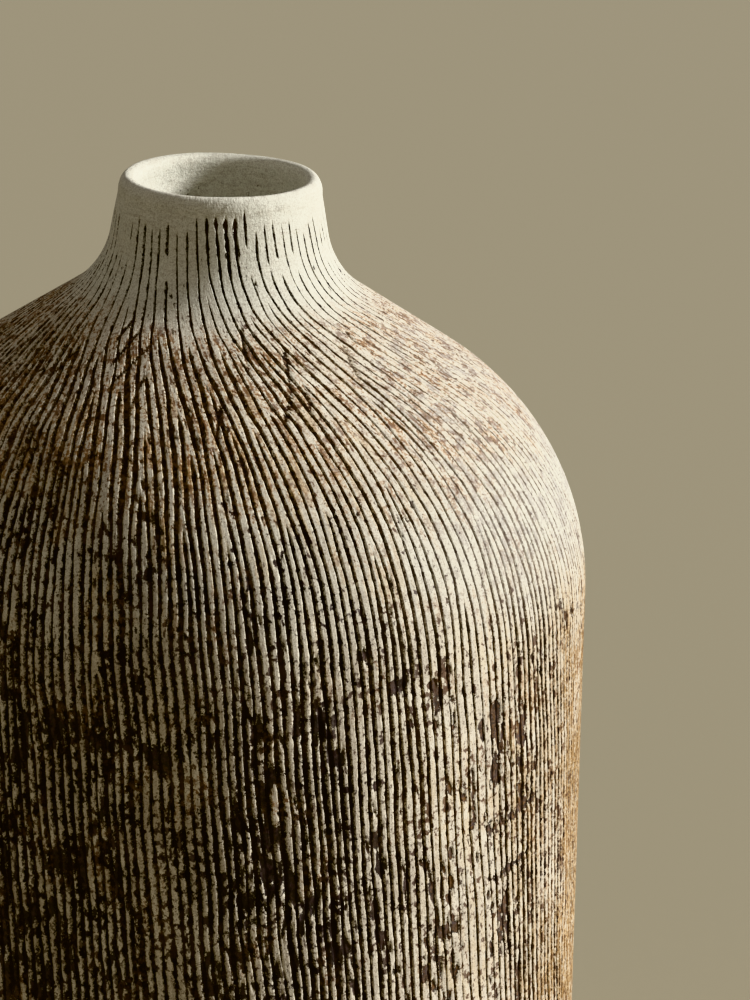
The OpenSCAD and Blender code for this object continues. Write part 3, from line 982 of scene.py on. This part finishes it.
    # the strokes run on, darker, through the chips
    clay = mix_colour(nt, times(nt, times(nt, cut, chip_m), 0.85), clay, DARK_CLAY)
    colour = mix_colour(nt, dark, cream, clay)

    link(nt, colour, bsdf.inputs["Base Color"])
    rough_v = math_node(nt, "ADD", math_node(nt, "MULTIPLY", fine, 0.22), 0.72, clamp=True)
    link(nt, rough_v, bsdf.inputs["Roughness"])
    bsdf.inputs["Specular IOR Level"].default_value = SLIP_SHINE

    height = add(nt, times(nt, grit, 0.8), times(nt, fine, 0.8), times(nt, dust, 0.5),
                 times(nt, rings, 0.55 if brushed else 0.2), times(nt, mark, -0.5))
    bump = node(nt, "ShaderNodeBump")
    bump.inputs["Strength"].default_value = BUMP_STRENGTH
    bump.inputs["Distance"].default_value = SLIP_BUMP * MM
    link(nt, height, bump.inputs["Height"])
    link(nt, bump.outputs["Normal"], bsdf.inputs["Normal"])
    return m


def clay_material(name, dark, light, fleck):
    """Bare stoneware: toasted, sandy, with flecks."""
    m, nt, bsdf = make_material(name)
    coords = node(nt, "ShaderNodeTexCoord").outputs["Object"]
    grit = noise(nt, coords, GRIT, 3, 0.6)
    fine = noise(nt, coords, CLAY_FINE, 3, 0.6)
    patch = noise(nt, coords, CLAY_PATCH, 4, 0.6)
    colour = mix_colour(nt, ramp(nt, patch, 0.36, 0.66), dark, light)
    colour = mix_colour(nt, ramp(nt, grit, 0.60, 0.70, 0, 0.7), colour, fleck)
    link(nt, colour, bsdf.inputs["Base Color"])
    link(nt, math_node(nt, "ADD", math_node(nt, "MULTIPLY", fine, 0.2), 0.75, clamp=True),
         bsdf.inputs["Roughness"])
    bsdf.inputs["Specular IOR Level"].default_value = CLAY_SHINE
    bump = node(nt, "ShaderNodeBump")
    bump.inputs["Strength"].default_value = BUMP_STRENGTH
    bump.inputs["Distance"].default_value = CLAY_BUMP * MM
    link(nt, math_node(nt, "ADD", grit, fine), bump.inputs["Height"])
    link(nt, bump.outputs["Normal"], bsdf.inputs["Normal"])
    return m


mat_wall = scored_material("scored_slip")
mat_lip = scored_material("lip_slip", brushed=True)
mat_raw = clay_material("raw_clay", *TOASTED_CLAY)
mat_in = clay_material("inner_clay", *INNER_CLAY)

# ---------------------------------------------------------------------- pieces
ring_piece("rim", None, 5, mat_lip)
ring_piece("neck", 5, 4, mat_wall)
ring_piece("crown", 4, 3, mat_wall)
ring_piece("shoulder", 3, 2, mat_wall)
ring_piece("upper_wall", 2, 1, mat_wall)
ring_piece("middle_wall", 1, 0, mat_wall)
ring_piece("lower_wall", 0, None, mat_wall)

for o in bpy.context.scene.objects:
    cad = o.get("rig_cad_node")
    if cad is None:
        continue
    o.data.materials.clear()
    o.data.materials.append(mat_raw if cad in ("foot_ring", "base_disc") else mat_in)

# ---------------------------------------------------------- floor, light, camera
FLOOR_SIZE = 8          # metres
bpy.ops.mesh.primitive_plane_add(size=FLOOR_SIZE)
floor = bpy.context.object
floor.name = "floor"
floor_mat, _, floor_bsdf = make_material("floor")
floor_bsdf.inputs["Base Color"].default_value = (*FLOOR_COLOUR, 1)
floor_bsdf.inputs["Roughness"].default_value = 0.9
floor.data.materials.append(floor_mat)


def sun_light(name, azimuth, elevation, spread, strength, colour):
    """A far, soft light: azimuth from +X towards +Y, spread is its angular size."""
    a, e = math.radians(azimuth), math.radians(elevation)
    d = Vector((math.cos(e) * math.cos(a), math.cos(e) * math.sin(a), math.sin(e)))
    data = bpy.data.lights.new(name, "SUN")
    data.energy, data.color, data.angle = strength, colour, math.radians(spread)
    o = bpy.data.objects.new(name, data)
    o.location = d * 2
    o.rotation_mode = "QUATERNION"
    o.rotation_quaternion = d.to_track_quat("Z", "Y")
    bpy.context.scene.collection.objects.link(o)


KEY_AZIMUTH, KEY_ELEVATION, KEY_SPREAD = 5, 24, 13      # degrees
KEY_STRENGTH = 6.4
KEY_COLOUR = (1.0, 1.0, 1.0)
SKY_LOW, SKY_RISE = 0.235, 0.11     # brightness at the horizon, and how much more overhead
sun_light("key", KEY_AZIMUTH, KEY_ELEVATION, KEY_SPREAD, KEY_STRENGTH, KEY_COLOUR)
world = bpy.data.worlds.new("studio")
bpy.context.scene.world = world
world.use_nodes = True
world.node_tree.nodes["Background"].inputs[0].default_value = (*SURROUND_COLOUR, 1)
# the surround is a little brighter overhead than at the horizon
world_nt = world.node_tree
world_dir = node(world_nt, "ShaderNodeSeparateXYZ")
link(world_nt, node(world_nt, "ShaderNodeTexCoord").outputs["Generated"], world_dir.inputs[0])
world_glow = math_node(world_nt, "MULTIPLY_ADD", math_node(world_nt, "MAXIMUM", world_dir.outputs[2], 0),
                       SKY_RISE, SKY_LOW)
link(world_nt, world_glow, world_nt.nodes["Background"].inputs[1])

CAM_TILT = 17.37        # degrees below the horizon
CAM_ROLL = 1.71         # a small lean of the camera, degrees
CAM_DIST = 1490.3       # from the aim point, mm
CAM_AIM = (47.97, 0.0, VASE_H - 98.16)      # right of the axis and below the lip, mm
LENS = 180.0            # focal length, mm
SENSOR = 36.0           # its width, mm
CLIP_NEAR, CLIP_FAR = 0.05, 50      # metres
tilt, roll = math.radians(CAM_TILT), math.radians(CAM_ROLL)
fwd = Vector((0, math.cos(tilt), -math.sin(tilt)))
up0, right0 = Vector((0, math.sin(tilt), math.cos(tilt))), Vector((1, 0, 0))
right = right0 * math.cos(roll) + up0 * math.sin(roll)
up = up0 * math.cos(roll) - right0 * math.sin(roll)
cam_data = bpy.data.cameras.new("camera")
cam_data.lens, cam_data.sensor_width = LENS, SENSOR
cam = bpy.data.objects.new("camera", cam_data)
pos = (Vector(CAM_AIM) - fwd * CAM_DIST) * MM
cam.matrix_world = Matrix(((right.x, up.x, -fwd.x, pos.x), (right.y, up.y, -fwd.y, pos.y),
                           (right.z, up.z, -fwd.z, pos.z), (0, 0, 0, 1)))
cam_data.clip_start = CLIP_NEAR
cam_data.clip_end = CLIP_FAR
bpy.context.scene.collection.objects.link(cam)
bpy.context.scene.camera = cam
bpy.context.scene.view_settings.view_transform = "Khronos PBR Neutral"
